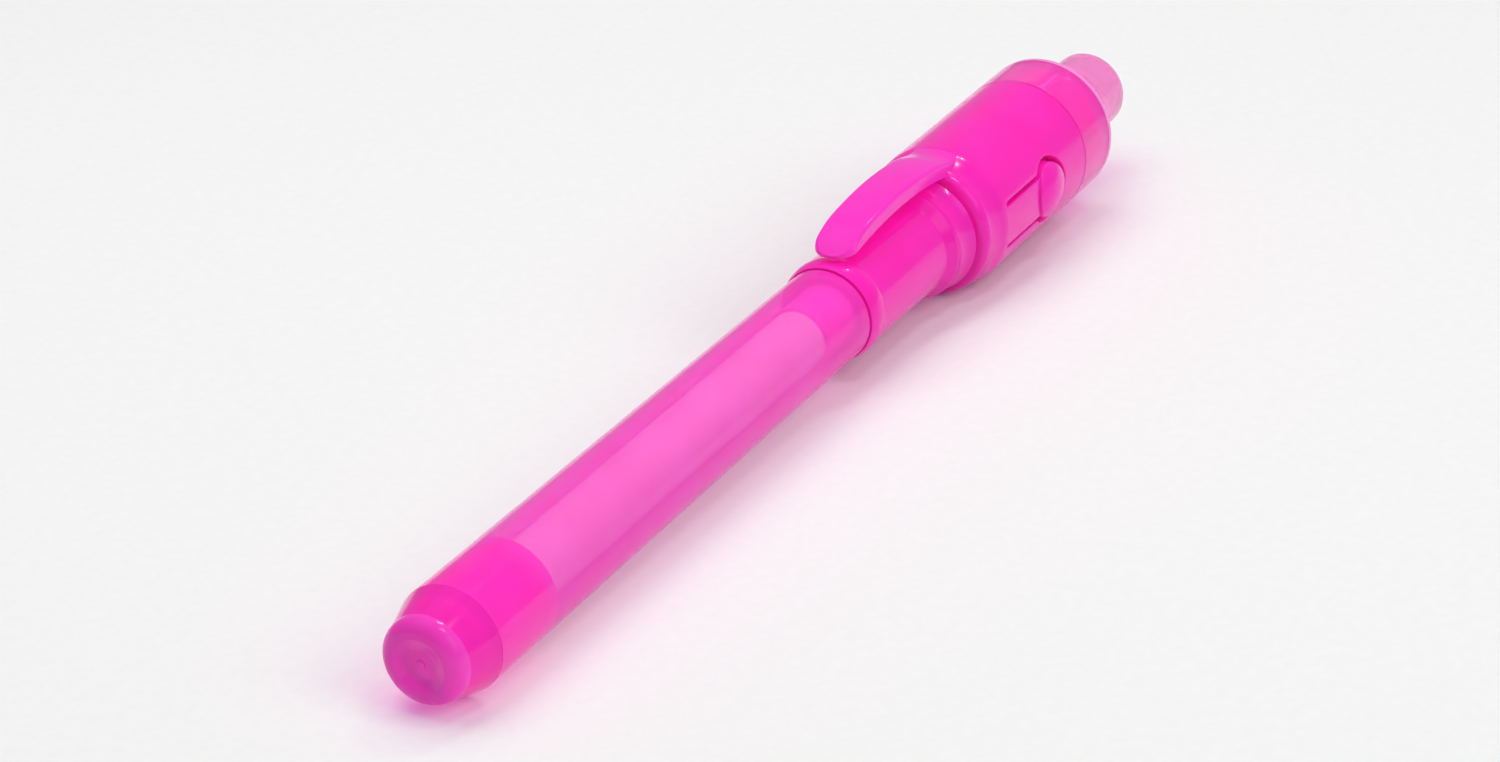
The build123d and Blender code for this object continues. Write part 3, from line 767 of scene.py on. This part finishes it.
def skin(mesh, rings):
    """Joins rings of points of equal count into a closed bar."""
    rows = [[mesh.verts.new(point) for point in ring] for ring in rings]
    count = len(rows[0])
    for first, second in zip(rows, rows[1:]):
        for i in range(count):
            j = (i + 1) % count
            mesh.faces.new([first[i], first[j], second[j], second[i]])
    mesh.faces.new(rows[0])
    mesh.faces.new(list(reversed(rows[-1])))


def bar_section(half_width, thickness, upper_edge, lower_edge):
    """Section of a flat bar as (across, down from the top) points, with rounded edges."""
    across = [half_width * (2 * step / BAR_STEPS - 1) for step in range(1, BAR_STEPS)]
    flat_top = [(y, 0, 0) for y in across if abs(y) < half_width - upper_edge]
    flat_base = [(-y, thickness, 0) for y in across if abs(y) < half_width - lower_edge]
    corners = [(-half_width, 0, upper_edge), *flat_top, (half_width, 0, upper_edge)]
    corners += [(half_width, thickness, lower_edge), *flat_base, (-half_width, thickness, lower_edge)]
    return rounded(corners)


def build_button():
    """The tongue, which bends when the button is pressed, and the button as one skin; its root lies in
    the housing's wall.
    """
    mesh = bmesh.new()
    wall = housing_radius - housing_bore
    rise = -button_low.y - housing_radius
    section = bar_section(TONGUE_WIDTH / 2, wall, SLIT_EDGE, FINE_EDGE)
    start = tongue_x - TONGUE_OVERLAP
    rings = []
    for step in range(TONGUE_STEPS + 1):
        x = start + (button_x - start) * step / TONGUE_STEPS
        rings.append([
            on_wall(x, housing_radius - TONGUE_DROP - down, math.asin(across / housing_radius))
            for across, down in section
        ])
    skin(mesh, rings)
    shares = [step / DOME_STEPS for step in range(DOME_STEPS + 1)]
    swell = rise - BUTTON_RISE_EDGE
    dome = [(button_radius * s, BUTTON_RISE_EDGE + swell * (1 - s**2), 0) for s in shares]
    dome[-1] = (*dome[-1][:2], BUTTON_ROUND)
    base = [(button_radius, FINE_EDGE - wall, BUTTON_FOOT), (0, FINE_EDGE - wall, 0)]
    rings = []
    for reach, lift in rounded(dome + base):
        ring = []
        for i in range(SEGMENTS):
            angle = 2 * math.pi * i / SEGMENTS
            z = reach * math.sin(angle)
            y = -math.sqrt((housing_radius + lift) ** 2 - z**2)
            ring.append(mesh.verts.new((button_x + reach * math.cos(angle), y, z)))
        rings.append(ring)
    for first, second in zip(rings, rings[1:]):
        for i in range(SEGMENTS):
            mesh.faces.new([first[i], first[i - 1], second[i - 1], second[i]])
    piece = add_piece("button_tongue", mesh, cap_plastic, ["press_button"])
    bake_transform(piece)


def build_clip():
    """An arched bar whose top runs out level with the housing's wall behind the root."""
    clip_low, clip_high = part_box("pocket_clip")
    hinge = Vector(joints["clip_flex"]["pos_m"])
    thickness = 2 * (clip_high.x - hinge.x)
    tip = Vector((clip_low.x, CLIP_TIP_TOP))
    root = Vector((hinge.x, hinge.z + thickness / 2))
    crest = Vector(((tip.x + root.x) / 2, CLIP_CREST_TOP))
    centre, radius = circle_through(tip, crest, root)
    end_x = hinge.x + CLIP_SINK
    run_out_x = end_x - CLIP_RUN_OUT
    length = end_x - tip.x
    quarter = [math.pi / 2 * step / CLIP_TIP_STEPS for step in range(CLIP_TIP_STEPS)]
    distances = [CLIP_TIP_ROUND * (1 - math.cos(angle)) for angle in quarter]
    shares = [step / CLIP_STEPS for step in range(CLIP_STEPS + 1)]
    distances += [CLIP_TIP_ROUND + (length - CLIP_TIP_ROUND) * share for share in shares]
    rings = []
    for distance in distances:
        x = tip.x + distance
        share = min(distance / (hinge.x - tip.x), 1)
        half = (CLIP_TIP_WIDTH + (clip_high.y - clip_low.y - CLIP_TIP_WIDTH) * share) / 2
        short = max(CLIP_TIP_ROUND - distance, 0)
        half -= CLIP_TIP_ROUND - math.sqrt(CLIP_TIP_ROUND**2 - short**2)
        nose = max(CLIP_NOSE - distance, 0)
        pinch = CLIP_NOSE_DROP * (nose / CLIP_NOSE) ** 2
        arch = centre.y + math.sqrt(radius**2 - (x - centre.x) ** 2)
        run_out = min(max((x - run_out_x) / (CLIP_RUN_OUT - CLIP_RUN_OUT_END), 0), 1)
        settle = run_out * run_out * (3 - 2 * run_out)
        top = arch + (housing_radius - CLIP_UNDER - arch) * settle
        height = thickness * (1 - CLIP_THINNED * settle) - pinch
        crown = CLIP_CROWN + (1 - CLIP_CROWN) * share**CLIP_CROWN_POWER
        edge = min(CLIP_EDGE, CLIP_EDGE_SHARE * height)
        ring = []
        for across, down in bar_section(half, height, edge, FINE_EDGE):
            sag = crown * (housing_radius - math.sqrt(housing_radius**2 - across**2))
            ring.append(Vector((x, across, top - pinch - down - sag)))
        rings.append(ring)
    mesh = bmesh.new()
    skin(mesh, rings)
    # The clip wears the bluer pink of the painted sheen
    piece = add_piece("clip_arm", mesh, clip_painted_sheen, ["pocket_clip"])
    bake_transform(piece)


build_housing()
build_button()
build_clip()

for name, material in NODE_MATERIALS.items():
    cad_node = frame["nodes"][name]
    for index in range(len(cad_node.material_slots)):
        cad_node.material_slots[index].material = material


# Stage, light and camera
CAMERA_FROM_TAIL = Vector((-259.1, -173.4, 172.0)) * MM
CAMERA_AIM = Vector((57.0, 0, 0)) * MM
CAMERA_ROLL = -2.65
CAMERA_LENS = 107
CAMERA_CLIP = 0.01
FLOOR_SIZE = 8
FLOOR_SCALE = 900
FLOOR_COLOURS = ((0.84, 0.84, 0.84), (0.86, 0.86, 0.86))
FLOOR_ROUGHNESS = 0.9
FLOOR_SPECULAR = 0.1
WORLD_LIGHT = (0.33, 0.33, 0.33)

# Lamps, each with its place from the middle of the pen, its size and its power in watts
SOFT_LAMPS = (
    ("key", (0.02, 0.14, 0.42), (0.4, 0.3), 0.92),
    ("fill", (-0.08, -0.8, 0.62), (0.6, 0.6), 4.0),
)
# Small lamps that show in the gloss as glints
GLINT_LAMPS = (
    ("window_above_0", (0.015, -0.145, 0.42), (0.014, 0.045), 0.12),
    ("window_end_0", (0.76, -0.08, 0.91), (0.035, 0.11), 0.75),
    ("window_above_1", (0.055, -0.185, 0.42), (0.014, 0.045), 0.12),
    ("window_end_1", (0.76, 0.02, 1.01), (0.035, 0.11), 0.75),
)


def build_stage():
    """A pale floor on which the pen lies: it touches the housing's end and the tail's shoulder."""
    slope = (housing_radius - barrel_tail_radius) / (housing_high.x - barrel_low.x)
    bpy.ops.mesh.primitive_plane_add(size=FLOOR_SIZE, location=(barrel_low.x, 0, -barrel_tail_radius))
    floor = bpy.context.object
    floor.name = "floor"
    floor.rotation_euler = (0, math.atan(slope), 0)
    material, tree, shader = new_material("floor")
    pale = mix_colours(tree, noise(tree, FLOOR_SCALE), *FLOOR_COLOURS)
    tree.links.new(pale, shader.inputs["Base Color"])
    shader.inputs["Roughness"].default_value = FLOOR_ROUGHNESS
    shader.inputs["Specular IOR Level"].default_value = FLOOR_SPECULAR
    floor.data.materials.append(material)


def add_lamp(name, place, size, power, mirrored_by_gloss):
    """A rectangular lamp that looks at the middle of the pen."""
    lamp = bpy.data.lights.new(name, "AREA")
    lamp.shape = "RECTANGLE"
    lamp.size, lamp.size_y = size
    lamp.energy = power
    holder = bpy.data.objects.new(name, lamp)
    middle = (cad_low + cad_high) / 2
    holder.location = middle + Vector(place)
    holder.rotation_euler = (-Vector(place)).to_track_quat("-Z", "Y").to_euler()
    holder.visible_glossy = mirrored_by_gloss
    bpy.context.scene.collection.objects.link(holder)


def build_light():
    world = bpy.data.worlds.new("studio")
    bpy.context.scene.world = world
    world.use_nodes = True
    world.node_tree.nodes["Background"].inputs["Color"].default_value = (*WORLD_LIGHT, 1)
    for name, place, size, power in SOFT_LAMPS:
        add_lamp(name, place, size, power, mirrored_by_gloss=False)
    for name, place, size, power in GLINT_LAMPS:
        add_lamp(name, place, size, power, mirrored_by_gloss=True)


def build_camera():
    """The photograph's viewpoint, turned to face the pen and zoomed in on it."""
    camera = bpy.data.cameras.new("camera")
    camera.lens = CAMERA_LENS
    camera.clip_start = CAMERA_CLIP
    holder = bpy.data.objects.new("camera", camera)
    holder.location = CAMERA_FROM_TAIL
    look = (CAMERA_AIM - CAMERA_FROM_TAIL).to_track_quat("-Z", "Y").to_matrix()
    roll = Matrix.Rotation(math.radians(CAMERA_ROLL), 3, "Z")
    holder.rotation_euler = (look @ roll).to_euler()
    bpy.context.scene.collection.objects.link(holder)
    bpy.context.scene.camera = holder


build_stage()
build_light()
build_camera()
bpy.context.scene.view_settings.view_transform = "Standard"
